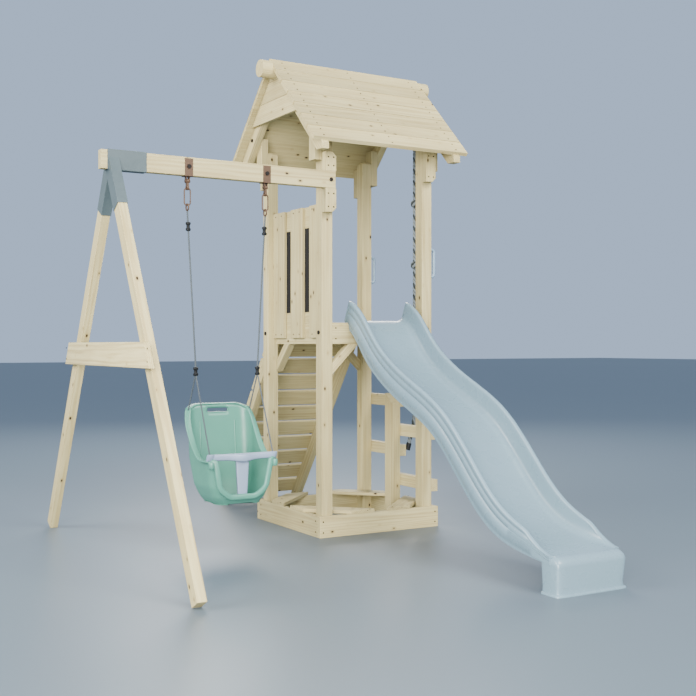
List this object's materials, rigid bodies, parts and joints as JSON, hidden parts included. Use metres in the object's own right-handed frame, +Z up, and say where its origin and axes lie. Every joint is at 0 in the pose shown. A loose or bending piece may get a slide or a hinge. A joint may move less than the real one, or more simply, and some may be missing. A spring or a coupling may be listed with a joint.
{
  "type": "swing set",
  "caption": "Wooden play tower with a gabled roof, a wave slide, a ramp, climbing rungs, a knotted rope and a toddler swing hung from a beam on splayed legs.",
  "frame": {"origin": "on the ground at the middle of the set's outline, measured without the ropes", "axes": "+Z up, +X along the roof ridge and the swing beam from the swing towards the tower, and the slide comes down towards -Y"},
  "size_m": [2.219, 3.359, 2.736],
  "materials": {
    "pine": "sawn and planed, unpainted",
    "bracket_steel": "satin grey",
    "bronze_steel": "warm plated",
    "zinc_steel": "zinc plated",
    "dark_steel": "dark",
    "black_sheet": "matt",
    "black_plastic": "satin",
    "blue_plastic": "satin",
    "slide_plastic": "moulded satin",
    "seat_plastic": "moulded satin",
    "bar_plastic": "moulded satin",
    "climbing_rope": "twisted black and pale strands",
    "swing_rope": "braided grey"
  },
  "bodies": {
    "frame": {"post_front_left": "pine", "post_back_left": "pine", "post_front_right": "pine", "post_back_right": "pine", "post_middle": "pine", "base_board_front": "pine", "base_board_back": "pine", "base_board_left": "pine", "base_board_right": "pine", "corner_seats": "pine", "fascia_front": "pine", "fascia_back": "pine", "fascia_right": "pine", "fascia_left": "pine", "floor_joists": "pine", "floor_boards": "pine", "knee_braces": "pine", "wall_slats": "pine", "wall_rails": "pine", "wall_backing": "black_sheet", "roof_front": "pine", "roof_back": "pine", "ridge_log": "pine", "rafters": "pine", "gable_boards": "pine", "post_blocks": "pine", "ramp_stringer_left": "pine", "ramp_stringer_right": "pine", "ramp_boards": "pine", "rungs": "pine", "handles": "blue_plastic", "slide": "slide_plastic", "swing_beam": "pine", "leg_front": "pine", "leg_back": "pine", "cross_board": "pine", "corner_bracket": "bracket_steel", "hanger_left": "bronze_steel", "hanger_right": "bronze_steel", "hanger_pins": "bronze_steel", "rope_hook": "zinc_steel", "bolt_heads": "dark_steel"},
    "swing": {"swing_eyes": "bronze_steel", "carabiners": "bronze_steel", "swing_rings": "bronze_steel", "rope_adjusters": "black_plastic", "seat_shell": "seat_plastic", "rope_main_left": "swing_rope", "rope_back_left": "swing_rope", "rope_front_left": "swing_rope", "rope_main_right": "swing_rope", "rope_back_right": "swing_rope", "rope_front_right": "swing_rope"},
    "gate_left": {"carabiner_gate_left": "bronze_steel"},
    "gate_right": {"carabiner_gate_right": "bronze_steel"},
    "bar": {"safety_bar": "bar_plastic"},
    "rope": {"climbing_rope": "climbing_rope", "climbing_knots": "climbing_rope", "rope_end_cap": "black_plastic", "rope_thimble": "zinc_steel"}
  },
  "joints": [
    {"name": "swing_hinge", "type": "hinge", "parent": "frame", "child": "swing", "pos_m": [-0.4245, 0.053, 1.921], "axis": [1, 0, 0], "range_deg": [-50, 50]},
    {"name": "bar_slide", "type": "slide", "parent": "swing", "child": "bar", "axis": [0, 0.4133, 0.9106], "range_m": [0, 0.2]},
    {"name": "gate_left_hinge", "type": "hinge", "parent": "swing", "child": "gate_left", "pos_m": [-0.631, 0.053, 1.8183], "axis": [0, 1, 0], "range_deg": [-22, 0], "stiffness_Nm_per_rad": 0.05},
    {"name": "gate_right_hinge", "type": "hinge", "parent": "swing", "child": "gate_right", "pos_m": [-0.185, 0.053, 1.8183], "axis": [0, 1, 0], "range_deg": [-22, 0], "stiffness_Nm_per_rad": 0.05},
    {"name": "rope_sway", "type": "hinge", "parent": "frame", "child": "rope", "pos_m": [1.0375, 0.4475, 2.572], "axis": [1, 0, 0], "range_deg": [-25, 25]}
  ]
}
